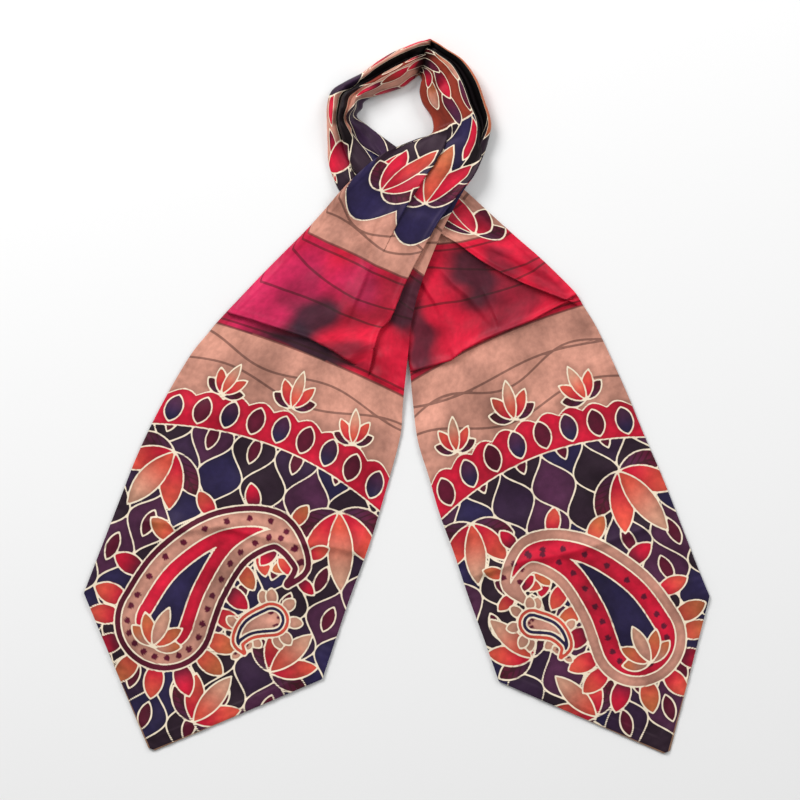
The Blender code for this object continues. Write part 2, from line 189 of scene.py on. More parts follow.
# The band's section. share: place on the cloth from the left edge, out: from the left foot (0) to the
# right (1), up: share of the height. The right stretch has its neck hole on the left.
bandProfiles = {
    "right": [(0, 0.48, 0), (0.05, 0.1, 0), (0.09, 0.01, 0.14), (0.14, 0, 0.42), (0.22, 0.1, 0.62),
              (0.34, 0.3, 0.74), (0.46, 0.54, 0.88), (0.54, 0.7, 1), (0.59, 0.755, 0.92),
              (0.63, 0.75, 0.58), (0.68, 0.785, 0.22), (0.74, 0.87, 0.2), (0.8, 0.935, 0.52),
              (0.85, 0.965, 0.7), (0.89, 1, 0.52), (0.93, 0.985, 0.2), (0.96, 0.9, 0), (1, 0.52, 0)],
    "top": [(0, 0.48, 0), (0.04, 0.12, 0), (0.07, 0.01, 0.2), (0.12, 0, 0.6), (0.18, 0.06, 0.88),
            (0.24, 0.14, 0.9), (0.3, 0.24, 0.66), (0.36, 0.33, 0.46), (0.42, 0.4, 0.6), (0.47, 0.41, 0.9),
            (0.53, 0.48, 1), (0.62, 0.62, 0.9), (0.74, 0.8, 0.68), (0.85, 0.95, 0.46), (0.9, 1, 0.28),
            (0.94, 0.98, 0.1), (0.96, 0.88, 0), (1, 0.52, 0)],
    "left": [(0, 0.48, 0), (0.04, 0.12, 0), (0.07, 0, 0.14), (0.12, 0.02, 0.38), (0.2, 0.16, 0.58),
             (0.27, 0.3, 0.46), (0.31, 0.35, 0.36), (0.36, 0.36, 0.74), (0.42, 0.44, 0.96),
             (0.5, 0.56, 0.8), (0.57, 0.62, 0.6), (0.63, 0.68, 0.8), (0.69, 0.76, 0.92), (0.8, 0.88, 0.6),
             (0.87, 0.98, 0.4), (0.92, 1, 0.14), (0.95, 0.9, 0), (1, 0.52, 0)],
}

# Heights and widths of the cloth, mm. The two panels stand apart inside the turned seam.
cloth = {"edge": 0.35, "face": 1.45, "back": 0.12, "edgeRound": 3.5, "farEdge": 60.0, "bluntShare": 0.35,
         "layer": 0.8, "seamAllowance": 7.5, "seamRise": 0.34, "seamRun": 2.0, "pucker": 0.24,
         "puckerRun": 5.0, "creaseRun": 9.0, "flatHeight": 13.0, "bandLift": 9.4, "bandFoot": 0.3,
         "turnRound": 0.8, "lipWide": 3.5, "fullDepth": 5.0, "covered": 4.6, "coverFrom": 95,
         "coverRun": 30, "climb": 15.0, "climbRun": 13.5,
         "topFrom": 21.0, "topRun": 3.0,  # in rows of the under strip
         "swells": ((62, 0.30, 5), (31, 0.13, 6), (15, 0.05, 6))}  # length, height and count of waves
samples = {"length": 3000, "climb": 60, "rows": 140, "across": 120, "drop": 110}  # places read on a curve


def bandSection(row):  # a band row as a section like the others
    x0, y0 = row["left"]
    x1, y1 = row["right"]
    return {"x": (x0 + x1) / 2, "y": (y0 + y1) / 2, "width": math.hypot(x1 - x0, y1 - y0),
            "turn": math.degrees(math.atan2(y1 - y0, x1 - x0)), "lift": cloth["bandLift"],
            "height": row["height"]}


def stationTable(strip):  # every station's values as arrays, with the turns unwound
    rows = [{"lift": 0.0, **row, "height": cloth["flatHeight"]} for row in strip["sections"]]
    rows += [bandSection(row) for row in strip["band"]]
    table = {key: np.array([row[key] for row in rows], float) for key in rows[0]}
    table["turn"] = np.degrees(np.unwrap(np.radians(table["turn"])))
    table["bandShare"] = np.array(strip["bandShare"], float)
    return table


def lengthAlong(table):  # the middle line's length up to each place, from the corners of the point on
    place = np.linspace(0, len(table["x"]) - 1, samples["length"])
    x, y = curveThrough(table["x"], place), curveThrough(table["y"], place)
    steps = np.hypot(np.diff(x), np.diff(y))
    return place, np.concatenate([[0], np.cumsum(steps)])


def lineDistance(x, y, line):  # distance from points to a line in plan, their side and share along it
    points = np.array(line, float)
    lengths = np.hypot(*np.diff(points, axis=0).T)
    ahead = np.concatenate([[0], np.cumsum(lengths)])
    nearest, side, share = np.full(x.shape, 1e9), np.zeros(x.shape), np.zeros(x.shape)
    for start, end, length, before in zip(points, points[1:], lengths, ahead):
        along = (end - start) / length
        dx, dy = x - start[0], y - start[1]
        run = np.clip(dx * along[0] + dy * along[1], 0, length)
        away = np.hypot(dx - run * along[0], dy - run * along[1])
        closer = away < nearest
        nearest = np.where(closer, away, nearest)
        side = np.where(closer, np.sign(along[0] * dy - along[1] * dx), side)
        share = np.where(closer, (before + run) / ahead[-1], share)
    return nearest, side, share


def creaseHeight(x, y, creases):
    height = np.zeros(x.shape)
    for crease in creases:
        away, side, share = lineDistance(x, y, crease["line"])
        fade = smooth(share / crease["fade"] + 0.05) * smooth((1 - share) / crease["fade"] + 0.05)
        if crease["kind"] == "fold":
            reach = np.where(side > 0, crease["run"], crease["drop"])
            height += crease["height"] * fade * np.clip(1 - away / reach, 0, 1) ** 1.25
        else:
            sign = 1 if crease["kind"] == "ridge" else -1
            height += sign * crease["height"] * fade * np.exp(-(away / crease["run"]) ** 2)
    return height


def undulation(x, y):  # slow, uneven swells of cloth that was once folded and pressed
    waves = np.random.default_rng(5)
    height = np.zeros(x.shape)
    for length, amount, count in cloth["swells"]:
        for _ in range(count):
            turn, phase = waves.uniform(0, 2 * math.pi, 2)
            scale = 2 * math.pi / (length * waves.uniform(0.8, 1.25))
            height += amount * np.sin((x * math.cos(turn) + y * math.sin(turn)) * scale + phase)
    return height


def bearingShare(x, y):  # how fully the front end has climbed onto the under end at points in plan
    table = stationTable(underStrip)
    place = np.linspace(0, len(underStrip["sections"]) - 1, samples["climb"])
    turn = np.radians(curveThrough(table["turn"], place))
    half = curveThrough(table["width"], place) / 2
    edge = np.stack([curveThrough(table[axis], place) - half * way(turn)
                     for axis, way in (("x", np.cos), ("y", np.sin))], axis=1)
    edge = np.vstack([edge, edge[-1] + (edge[-1] - edge[-2]) * 12])  # carried straight on
    away, side, _ = lineDistance(x, y, edge)
    return smooth((-away * side + cloth["climb"]) / cloth["climbRun"])


def foldPleats(strip, u, place):  # the cloth turns back under itself at each pleat, then runs on
    across = u.copy()
    total = np.full(u.shape, strip["cut"])
    folds = []
    for pleat in strip["pleats"]:
        depth = np.maximum(curveThrough(pleat["depth"], place), 0)
        hidden = depth * (2 if pleat["over"] == "left" else 1)
        edge = total - curveThrough(pleat["rest"], place) - hidden
        across -= 2 * np.clip(u - edge, 0, depth)
        total = total - 2 * depth
        folds.append(dict(pleat, edge=edge, depth=depth))
    return across, total, folds


def foldTuck(strip, u, s):  # the same along the strip: returns the laid length and the fold
    tuck = strip["tuck"]
    lip, depth = (np.interp(u, tuck["u"], tuck[key]) for key in ("s", "depth"))
    depth = depth * smooth(u / 6 + 0.4)
    edge = lip + depth
    return s - 2 * np.clip(s - edge, 0, depth), dict(tuck, edge=edge, depth=depth, over="right")


def layerHeight(flat, fold, inside):  # how high the upper layer and the turned one lie at a fold
    depth, turnRound = fold["depth"], cloth["turnRound"]
    turned = smooth((flat - fold["edge"] + turnRound) / (2 * turnRound))
    onward = smooth((flat - fold["edge"] - depth + turnRound) / (2 * turnRound))
    over = 1 - turned if fold["over"] == "left" else onward
    lip = fold["roll"] * np.exp(-(inside / cloth["lipWide"]) ** 2)
    top = 2 * smooth(1 - (inside - depth) / fold["run"]) + lip  # two layers lie under it
    return smooth(depth / cloth["fullDepth"]) * cloth["layer"] * (top * over + turned - onward)


def pleatHeight(u, across, folds):  # the pleats stack up where they lie over each other
    height = np.zeros(u.shape)
    for fold in folds:
        lip = fold["edge"] if fold["over"] == "left" else fold["edge"] + fold["depth"]
        laid = lip.copy()
        for other in folds:
            laid = laid - 2 * np.clip(lip - other["edge"], 0, other["depth"])
        height += layerHeight(u, fold, np.abs(laid - across))
    return height


def pointPlan(strip, table, x, y, u, s):  # the point: rows shrink from its corners to the blunt apex
    tip = strip["tip"]
    row, aside = s / tip["depth"], u / strip["cut"] - 0.5
    inPoint = row < 1
    for values, axis, way in ((x, "x", math.cos), (y, "y", math.sin)):
        apex = tip[axis] + aside * tip["blunt"] * way(math.radians(tip["turn"]))
        first = table[axis][0] + aside * table["width"][0] * way(math.radians(table["turn"][0]))
        values[inPoint] = (apex * (1 - row) + first * row)[inPoint]


def onCut(strip, u, s):  # places on the flat cut and their distance from the sewn edge
    tip, cut = strip["tip"], strip["cut"]
    depth, apexU = tip["depth"], tip["apex"] * cut
    row = np.minimum(s / depth, 1)
    cutU = np.where(row < 1, (apexU + (u / cut - 0.5) * tip["blunt"]) * (1 - row) + u * row, u)
    leftTip = (cutU * depth + (s - depth) * apexU) / math.hypot(apexU, depth)
    rightTip = ((cut - cutU) * depth + (s - depth) * (cut - apexU)) / math.hypot(cut - apexU, depth)
    fromEdge = np.minimum(np.minimum(cutU, cut - cutU), np.minimum(leftTip, rightTip))
    return cutU, np.clip(fromEdge + tip["blunt"] * cloth["bluntShare"], 0, cloth["farEdge"])


def faceHeight(strip, x, y, u, s, fromEdge):  # the face over the flat end: round edge, seam and creases
    rounding = np.sqrt(np.clip(1 - (1 - np.minimum(fromEdge / cloth["edgeRound"], 1)) ** 2, 0, 1))
    z = cloth["edge"] + (cloth["face"] - cloth["edge"]) * rounding
    z += cloth["seamRise"] * (1 - smooth((fromEdge - cloth["seamAllowance"]) / cloth["seamRun"])) * rounding
    pucker = np.sin(s * 0.87 + 2.2 * np.sin(s * 0.13)) + 0.7 * np.sin(s * 0.41 + 1.3 + u * 0.02)
    z += cloth["pucker"] * pucker * np.exp(-fromEdge / cloth["puckerRun"]) * rounding
    z += (undulation(x, y) + creaseHeight(x, y, strip["creases"])) * smooth(fromEdge / cloth["creaseRun"])
    lowest, soft = cloth["edge"] * 0.8, 0.3  # deep creases level out above the table
    return np.where(z < lowest + soft, lowest + soft * np.exp((z - lowest - soft) / soft), z)


def bandPoint(strip, share, place):  # out and up on the band's section at a share of the cloth
    top = smooth((place - cloth["topFrom"]) / cloth["topRun"])
    weights = {"right": 1.0} if strip is frontStrip else {"left": 1 - top, "top": top}
    out, up = np.zeros(share.shape), np.zeros(share.shape)
    for name, weight in weights.items():
        knots = np.array(bandProfiles[name])
        row = np.interp(share, knots[:, 0], np.arange(len(knots)))
        out += weight * curveThrough(knots[:, 1], row)
        up += weight * curveThrough(knots[:, 2], row)
    return out, np.maximum(up, 0)


def shareAcross(strip, u, place, mix):  # where the cloth lies across its section, and the band's height
    across, total, folds = foldPleats(strip, u, place)
    bandOut, up = bandPoint(strip, u / strip["cut"], place)
    return across / total * (1 - mix) + bandOut * mix, up, across, folds


def fillWidth(strip, table, out, place):  # stretched so that each section reaches from edge to edge
    rows = np.linspace(0, len(table["x"]) - 1, samples["rows"])
    u, row = np.meshgrid(np.linspace(0, strip["cut"], samples["across"]), rows)
    mix = np.clip(curveThrough(table["bandShare"], row.ravel()), 0, 1)
    sample = shareAcross(strip, u.ravel(), row.ravel(), mix)[0].reshape(row.shape)
    low = np.interp(place, rows, sample.min(axis=1))
    high = np.interp(place, rows, sample.max(axis=1))
    return (out - low) / (high - low)


def layCloth(strip, u, s, isFace):  # where the cloth at u across and s along the cut lies, in mm
    table = stationTable(strip)
    placeLine, lengthLine = lengthAlong(table)
    laidLength, tuck = foldTuck(strip, u, s) if isFace else (s, None)
    place = np.interp(np.maximum(laidLength - strip["tip"]["depth"], 0), lengthLine, placeLine)
    read = {key: curveThrough(values, place) for key, values in table.items()}
    turn = np.radians(read["turn"])
    cutU, fromEdge = onCut(strip, u, s)
    mix = np.clip(read["bandShare"], 0, 1)
    out = u / strip["cut"]
    if isFace:
        out, up, across, folds = shareAcross(strip, u, place, mix)
        out = fillWidth(strip, table, out, place)
    reach = (out - 0.5) * read["width"]
    x = read["x"] + reach * np.cos(turn)
    y = read["y"] + reach * np.sin(turn)
    pointPlan(strip, table, x, y, u, s)
    lift = np.maximum(read["lift"], 0) * bearingShare(x, y) if strip is frontStrip else 0.0
    if not isFace:
        z = cloth["back"] + lift * (1 - mix) + mix * cloth["bandFoot"]
        return x, y, z, cutU, fromEdge

    aboveLip = np.abs(laidLength - tuck["edge"] + tuck["depth"])
    z = faceHeight(strip, x, y, u, s, fromEdge) + pleatHeight(u, across, folds) + lift
    z += layerHeight(s, tuck, aboveLip)
    if strip is underStrip:
        # pressed down by the front end that lies over it
        covered = smooth((y - cloth["coverFrom"]) / cloth["coverRun"])
        z = z * (1 - covered) + np.minimum(z, cloth["covered"]) * covered
    z = z * (1 - mix) + (up * read["height"] + cloth["bandFoot"]) * mix
    creased = z + creaseHeight(x, y, strip["bandCreases"]) * mix * smooth(up * 2)
    z = np.maximum(creased, np.minimum(z, cloth["bandFoot"]))  # no crease goes into the table
    return x, y, z, cutU, fromEdge


def layPanel(name, strip, spacing, isFace):  # one panel of a strip as a grid bent to where it lies
    placeLine, lengthLine = lengthAlong(stationTable(strip))
    lastPlace = placeLine[-1] if isFace else len(strip["sections"]) - 1
    length = np.interp(lastPlace, placeLine, lengthLine) + strip["tip"]["depth"]
    grid = bmesh.new()
    bmesh.ops.create_grid(grid, x_segments=int(strip["cut"] / spacing), y_segments=int(length / spacing),
                          size=0.5)
    mesh = bpy.data.meshes.new(name)
    grid.to_mesh(mesh)
    grid.free()
    places = np.empty(len(mesh.vertices) * 3)
    mesh.vertices.foreach_get("co", places)
    u = (places[0::3] + 0.5) * strip["cut"]
    tucked = foldTuck(strip, u, u)[1]["depth"] * 2 if isFace else 0
    s = (places[1::3] + 0.5) * (length + tucked)
    x, y, z, cutU, fromEdge = layCloth(strip, u, s, isFace)
    mesh.vertices.foreach_set("co", (np.stack([x, y, z], axis=1) * mm).ravel())
    mesh.update()
    if (mesh.polygons[0].normal.z > 0) != isFace:
        mesh.flip_normals()
    mesh.shade_smooth()
    piece = bpy.data.objects.new(name, mesh)
    bpy.context.scene.collection.objects.link(piece)
    return piece, cutU, s, fromEdge, length + np.mean(tucked)


print("scene: cloth ready to lay")


# The print, drawn on the flat cut in mm: u across from the left edge, s up from the point. It is a
# general one, paisley drops and leaf sprays on a pointed lattice, in the dyes of hand-painted silk.
# ink is darker than black: painted shade, laid where the band's valleys and its kink lie in shadow, over
# print that is black there
dyes = {"ink": "#080405", "black": "#281A26", "ground": "#301D36", "navy": "#231E42", "plum": "#4B2340",
        "wine": "#5A1028", "rose": "#BC2458", "crimson": "#CA1433", "red": "#DE2541", "rust": "#86301F",
        "coral": "#DA5240", "orange": "#C4683F", "tan": "#C68C79", "sand": "#D19A80"}
dyes = {name: hexColor(text) for name, text in dyes.items()}
farLine = 20.0  # mm, where no drawn line is near
# mm: how far round a shape it is outlined, thin lines keep from outlines, and a soft border bleeds
drawn = {"aroundLeaf": 8, "aroundDrop": 12, "threadGap": 1.2, "stripeGap": 1.0, "bleed": 1.6}
veins = {"pitch": 5.2, "slant": 1.2, "thin": 1.5}  # side veins of a dark leaf, mm apart along it
stripe = {"swayLength": 23.0, "firstLeaf": 16}  # a strip along the cloth: its sway, its first leaf's place
# A spray's leaves, those behind first: degrees from the stalk, dyes of foot and tip, share of its size
sprayLeaves = [(-68, "plum wine", 0.8), (68, "plum wine", 0.8), (-36, "crimson coral", 0.95),
               (36, "crimson coral", 0.95), (0, "coral sand", 1.15)]


def fillShape(paint, chosen, distance, color, outlined=True):
    # distance: mm from the chosen points to the shape's edge, less than 0 inside it
    inside = distance < 0
    hit, around = chosen[inside], chosen[~inside]
    paint["tint"][hit] = color[inside] if color.ndim > 1 else color
    paint["fine"][hit] = farLine
    if outlined:
        paint["line"][hit] = -distance[inside]
        paint["line"][around] = np.minimum(paint["line"][around], distance[~inside])
    return hit, inside


def pointsNear(paint, u, s, reach):
    chosen = np.nonzero((np.abs(paint["u"] - u) < reach) & (np.abs(paint["s"] - s) < reach))[0]
    return chosen, paint["u"][chosen] - u, paint["s"][chosen] - s


def leafDistance(across, along, long, wide):  # two equal arcs that meet in a point at both ends
    half = long / 2
    radius = (half * half + (wide / 2) ** 2) / wide
    offset = radius - wide / 2
    sideways, lengthways = np.abs(across), np.abs(along - half)
    beyond = (lengthways - half) * offset > sideways * half
    return np.where(beyond, np.hypot(sideways, lengthways - half),
                    np.hypot(sideways + offset, lengthways) - radius)


def paintLeaf(paint, u, s, turn, long, wide, ends, veined=False):  # ends: dyes of its foot and tip
    chosen, du, ds = pointsNear(paint, u, s, long + drawn["aroundLeaf"])
    angle = math.radians(turn)
    across = du * math.cos(angle) - ds * math.sin(angle)
    along = du * math.sin(angle) + ds * math.cos(angle)
    distance = leafDistance(across, along, long, wide)
    blend = smooth(along / long * 1.3 - 0.15)[:, None]
    foot, tip = (dyes[name] for name in ends.split())
    hit, inside = fillShape(paint, chosen, distance, foot * (1 - blend) + tip * blend)
    if veined:
        rib = np.abs(across[inside])
        branch = np.mod(along[inside] - rib * veins["slant"], veins["pitch"]) - veins["pitch"] / 2
        paint["fine"][hit] = np.minimum(rib + 0.1, np.abs(branch) / veins["thin"] + 0.25)


def paintSpray(paint, u, s, turn, size, own=None):  # leaves that fan out from one stalk, own: its dyes
    for side, ends, share in sprayLeaves:
        ends = (own or {}).get(side, ends)
        paintLeaf(paint, u, s, turn + side, size * share, wide=size * 0.38, ends=ends,
                  veined=ends == "plum wine")


def spineDistance(paint, spine):  # distance to the edge of the circles along a drop's middle
    middle = spine.mean(axis=0)
    reach = np.abs(spine[:, :2] - middle[:2]).max() + spine[:, 2].max() + drawn["aroundDrop"]
    chosen, du, ds = pointsNear(paint, middle[0], middle[1], reach)
    distance = np.full(len(chosen), 1e9)
    for u, s, radius in spine:
        distance = np.minimum(distance, np.hypot(du + middle[0] - u, ds + middle[1] - s) - radius)
    return chosen, distance


def besideSpine(spine, share, side):  # a place along a drop and the way its edge faces, side -1 is left
    row = share * (len(spine) - 1)
    u, s, radius = (curveThrough(spine[:, axis], np.array([row]))[0] for axis in range(3))
    before, after = spine[max(int(row) - 3, 0)], spine[min(int(row) + 4, len(spine) - 1)]
    heading = math.degrees(math.atan2(after[0] - before[0], after[1] - before[1])) + side * 90
    return u, s, radius, heading


def roundDrop(spine, first, last, along, swing, around):  # places up both sides, then round the head
    sides = [besideSpine(spine, share, side) for share in np.linspace(first, last, along)
             for side in (-1, 1)]
    back = besideSpine(spine, 0.0, 1)[3] + 90
    return sides + [(*spine[0], back + turn) for turn in np.linspace(-swing, swing, around)]


def paintPaisley(paint, knots, rings, fringe, beads):  # a drop along circles of given u, s and radius
    knots = np.array(knots, float)
    place = np.linspace(0, len(knots) - 1, samples["drop"])
    spine = np.stack([curveThrough(knots[:, axis], place) for axis in range(3)], axis=1)
    along, around, long, wide, leafDyes = fringe
    for index, (u, s, radius, heading) in enumerate(roundDrop(spine, 0.02, 0.9, along, 72, around)):
        angle, size = math.radians(heading), long * (0.6 + 0.4 * radius / spine[0, 2])
        reach = radius - size * 0.3
        paintLeaf(paint, u + math.sin(angle) * reach, s + math.cos(angle) * reach, heading,
                  size * 1.3, wide * size / long, leafDyes[index % len(leafDyes)])
    chosen, distance = spineDistance(paint, spine)
    for inset, color in rings:
        fillShape(paint, chosen, distance + inset, dyes[color])
    along, around, inset, size = beads
    for u, s, radius, heading in roundDrop(spine, 0.0, 0.86, along, 66, around):
        angle, reach = math.radians(heading), radius - inset
        chosen, du, ds = pointsNear(paint, u + math.sin(angle) * reach, s + math.cos(angle) * reach,
                                    size + 1)
        fillShape(paint, chosen, np.hypot(du, ds) - size, dyes["wine"], outlined=False)


def edgeAt(paint, edge):  # a printed edge across the cloth: arched, and scalloped where it says so
    share = paint["u"] / paint["cut"]
    place = edge["s"] + edge.get("arch", 0) * (1 - (2 * share - 1) ** 2) + edge.get("lean", 0) * share
    return place + edge.get("scallop", 0) * np.abs(np.sin(math.pi * edge.get("count", 1) * share))


def paintZone(paint, lower, upper, color, outlined):  # without an outline its borders are soft
    distance = np.maximum(edgeAt(paint, lower) - paint["s"], paint["s"] - edgeAt(paint, upper))
    if outlined:
        fillShape(paint, np.arange(len(distance)), distance, dyes[color])
        return
    amount = smooth(0.5 - distance / drawn["bleed"])[:, None]
    paint["tint"] = paint["tint"] * (1 - amount) + dyes[color] * amount
    for name in ("line", "fine"):
        paint[name] = np.where(distance < 0, farLine, paint[name])


def paintLattice(paint, lower, upper, pitch, height, phase, cellDyes, buds):
    # curves that swing to and from each other bound pointed cells, some with a bud
    u = paint["u"] + 4 * np.sin(paint["s"] / 46 + phase)
    s = paint["s"] + 5 * np.sin(paint["u"] / 38 + phase)
    turn, place = 2 * math.pi * s / height, u / pitch
    column = np.floor(place)
    swing = 0.5 * np.cos(turn) * np.where(np.mod(column, 2) == 0, 1, -1)
    column = column - (place < column + swing) + (place > column + 1 - swing)
    even = np.mod(column, 2) == 0
    swing = 0.5 * np.cos(turn) * np.where(even, 1, -1)
    aside = np.minimum(place - column - swing, column + 1 - swing - place)
    row = np.floor(s / height + np.where(even, 0, 0.5))
    within = (paint["s"] > edgeAt(paint, lower)) & (paint["s"] < edgeAt(paint, upper))
    palette = np.array([dyes[name] for name in cellDyes.split()])
    cell = np.mod(row * 2 + column * 3, len(palette)).astype(int)
    paint["tint"][within] = palette[cell[within]]
    paint["line"][within] = (aside * pitch / np.hypot(1, math.pi * pitch / height * np.sin(turn)))[within]
    paint["fine"][within] = farLine
    every, long, wide, color = buds
    distance = leafDistance(u - (column + 0.5) * pitch,
                            s - (row + np.where(even, 0.5, 0.0)) * height + long / 2, long, wide)
    chosen = np.nonzero(within & (np.mod(row * 3 + column, every) == 0))[0]
    fillShape(paint, chosen, distance[chosen], dyes[color])


def paintFrieze(paint, edge, above, long, wide, spread, count, leafDyes):  # leaves that stand on an edge
    for index in range(count):
        u = (index + 0.5) * paint["cut"] / count
        s = edgeAt({"u": u, "cut": paint["cut"]}, edge) + above
        paintLeaf(paint, u, s, (u / paint["cut"] - 0.5) * spread, long, wide,
                  leafDyes[index % len(leafDyes)])


def paintWashAndShade(paint, lower, upper, color, drift, clouds, blots):
    # dark dye that bled into the wet silk in cloudy blots, deeper where two of them meet. Some blots are
    # painted shade: in the band's kink, and under the front end's tuck.
    u, s = paint["u"], paint["s"]
    cloud = np.zeros(len(u))
    for length, turn, phase in clouds:
        cloud += np.sin((u * math.cos(turn) + s * math.sin(turn)) * 2 * math.pi / length + phase)
    cloud *= drift / len(clouds)
    clear = np.ones(len(u))
    for blotU, blotS, wide, tall, amount in blots:
        away = np.hypot((u - blotU + cloud) / wide, (s - blotS + cloud) / tall)
        clear *= 1 - amount * smooth(1.6 - away * 1.15)
    within = (s > edgeAt(paint, lower)) & (s < edgeAt(paint, upper))
    amount = ((1 - clear) * within)[:, None]
    paint["tint"] = paint["tint"] * (1 - amount) + dyes[color] * amount


def paintStrip(paint, left, right, start, slope, sway, color, stop=0, step=1, rows=(), turn=0, long=0,
               wide=0, leafDyes=()):  # a pointed band along the cloth, its leaves up to stop in rows
    u, s = paint["u"], paint["s"]
    aside = sway * np.sin(s / stripe["swayLength"])
    ahead = (s - start - slope * np.abs(u - left)) / 1.1
    distance = np.maximum(np.maximum(left + aside - u, u - right - aside), -ahead)
    fillShape(paint, np.arange(len(u)), distance, dyes[color])
    first = start + stripe["firstLeaf"]
    for row in range(int((stop - first) / step)):
        leafS = first + row * step
        for index, share in enumerate(rows):
            leafU = left + (right - left) * share + sway * math.sin(leafS / stripe["swayLength"])
            paintLeaf(paint, leafU, leafS + step / 2 * (index % 2), turn * (1 if index % 2 else -1),
                      long, wide, leafDyes[(row + 2 * index) % len(leafDyes)])


def paintThreads(paint, lowest, highest, lines):  # fine dark lines that wander across a plain zone
    u, s = paint["u"], paint["s"]
    within = (s > lowest) & (s < highest) & (paint["line"] > drawn["threadGap"])
    for start, lean, swing, wave, phase in lines:
        place = start + lean * u + swing * np.sin(u / wave + phase)
        away = np.abs(s - place) / np.hypot(1, lean + swing / wave * np.cos(u / wave + phase))
        paint["fine"] = np.where(within, np.minimum(paint["fine"], away), paint["fine"])


def paintStripes(paint, edge, places):  # thin dark lines that follow an edge
    for above in places:
        away = np.abs(paint["s"] - edgeAt(paint, edge) - above)
        paint["fine"] = np.where(paint["line"] > drawn["stripeGap"], np.minimum(paint["fine"], away),
                                 paint["fine"])


painters = {"lattice": paintLattice, "zone": paintZone, "leaf": paintLeaf, "spray": paintSpray,
            "paisley": paintPaisley, "frieze": paintFrieze, "wash": paintWashAndShade, "threads": paintThreads,
            "stripes": paintStripes, "strip": paintStrip}

pointEdge, clothEnd = {"s": -30}, {"s": 900}  # beyond both ends of the cloth
endEdge = {"s": 200, "arch": 15}
tanEdge = {"s": 223, "arch": 13, "scallop": 4, "count": 9}
redEdge = {"s": 277, "arch": 3}
topEdge = {"s": 360, "arch": 5}
underRedEdge = {"s": 290, "arch": 4, "lean": 9}
underTopEdge = {"s": 380, "arch": -4}
smallBuds = (2, 19.0, 8.5, "wine")  # in every how many cells, long, wide, color
largeCells = "black ground black navy black"
# Fringe: leaves up each side of a drop and round its head, long, wide, dyes. Beads: the same counts,
# how far inside the edge, size. Rings: how far inside the edge, color.
largeFringe = (8, 6, 19, 13, ["crimson coral", "coral orange", "wine crimson"])
smallRings = [(0, "coral"), (3, "navy"), (6, "tan")]
smallBeads = (2, 3, 7.5, 1.1)
heartDyes = {0: "tan sand", 36: "coral orange", -36: "coral orange", 68: "tan orange", -68: "tan orange"}

# Layers from the point up, each with the values that its painter takes
frontPrint = [
    ("lattice", pointEdge, endEdge, 15.0, 47.0, 0.4, "black ground navy black plum", smallBuds),
    ("spray", 22, 188, -160, 42), ("spray", 140, 190, 158, 44), ("spray", 96, 26, 20, 34),
    ("spray", 132, 74, 28, 34),
    ("paisley", [(56, 82, 33), (60, 112, 29), (76, 146, 21), (104, 164, 13), (128, 150, 7), (124, 134, 3)],
     [(0, "wine"), (4.5, "tan"), (14, "crimson"), (23, "navy")], largeFringe, (13, 8, 8.6, 2.1)),
    ("spray", 54, 64, 4, 24, heartDyes),
    ("paisley", [(122, 108, 12), (110, 98, 9), (106, 86, 5), (112, 80, 2)], smallRings,
     (3, 4, 9, 8, ["tan sand"]), smallBeads),
    ("zone", endEdge, tanEdge, "crimson", True),
    ("frieze", endEdge, 2.5, 19, 12, 10, 9, ["navy plum", "wine wine"]),
    ("zone", tanEdge, {"s": 320}, "tan", True),
    ("threads", 228, 272, [(249, 0.03, 5, 21, 0.3), (267, -0.05, 4, 18, 1.8)]),
    ("spray", 34, 235, 6, 20), ("spray", 84, 243, -4, 22), ("spray", 134, 235, -12, 20),
    ("zone", redEdge, clothEnd, "crimson", False),
    # clouds: length, heading, phase. A blot: u, s, half its width and height, amount of dye; in the kink
    # and under the tuck the blot is also painted shade
    ("wash", redEdge, topEdge, "rose", 8.0, [(71, 1.4, 1.3), (43, 0.3, 0.0)],
     [(26, 318, 34, 46, 0.75), (70, 350, 22, 18, 0.6)]),
    # The flat blot at u 74, s 283 lies just under the tuck's lip: dark print, deepened as a painted shadow
    # of the fold.
    ("wash", redEdge, topEdge, "black", 6.0, [(61, 0.4, 0.3), (37, 2.3, 2.0), (23, 1.2, 4.4)],
     [(57, 314, 20, 19, 0.92), (74, 283, 46, 8, 0.97), (62, 299, 24, 12, 0.85), (94, 296, 17, 11, 0.6),
      (84, 342, 19, 22, 0.42), (30, 330, 10, 14, 0.3), (160, 337, 15, 24, 0.93)]),
    ("zone", topEdge, clothEnd, "tan", False),
    ("stripes", redEdge, [0.0, 4.0]), ("stripes", topEdge, [-5.0, 0.0]),
    ("threads", 290, 410, [(374, 0.1, 5, 19, 0.9), (388, -0.06, 6, 15, 2.2), (321, 0.05, 3, 31, 0.5),
                           (346, -0.07, 3, 24, 2.4)]),
    ("zone", {"s": 402, "scallop": -17, "count": 3}, clothEnd, "navy", True),
    ("lattice", {"s": 424, "arch": 12}, clothEnd, 25.0, 66.0, 2.0, largeCells, (3, 30.0, 12.0, "crimson")),
    ("spray", 30, 410, 14, 38, {0: "crimson coral", 36: "red crimson", -36: "red crimson"}),
    ("spray", 84, 414, -12, 42, {0: "coral orange", 36: "crimson red", -36: "red crimson"}),
    ("strip", 0, 92, 460, 0.26, 2.0, "rust", 556, 19, (0.14, 0.44, 0.74, 0.94), 18, 25, 16,
     ["crimson wine", "wine plum", "tan orange", "crimson wine", "plum wine"]),
    # the band's valley: black print, dyed darker than black as painted shade for the valley's shadow
    ("strip", 92, 139, 446, 0.5, 1.0, "ink"),
    ("strip", 139, 172, 456, 0.5, 1.0, "orange", 560, 22, (0.4,), 12, 20, 9,
     ["red crimson", "crimson wine"]),
    # painted shade along the sharp kink at the top of the band, over print that is dark there
    ("wash", {"s": 500}, clothEnd, "ink", 1.5, [(31, 0.2, 0.5)], [(66, 529, 60, 6, 0.9)]),
]

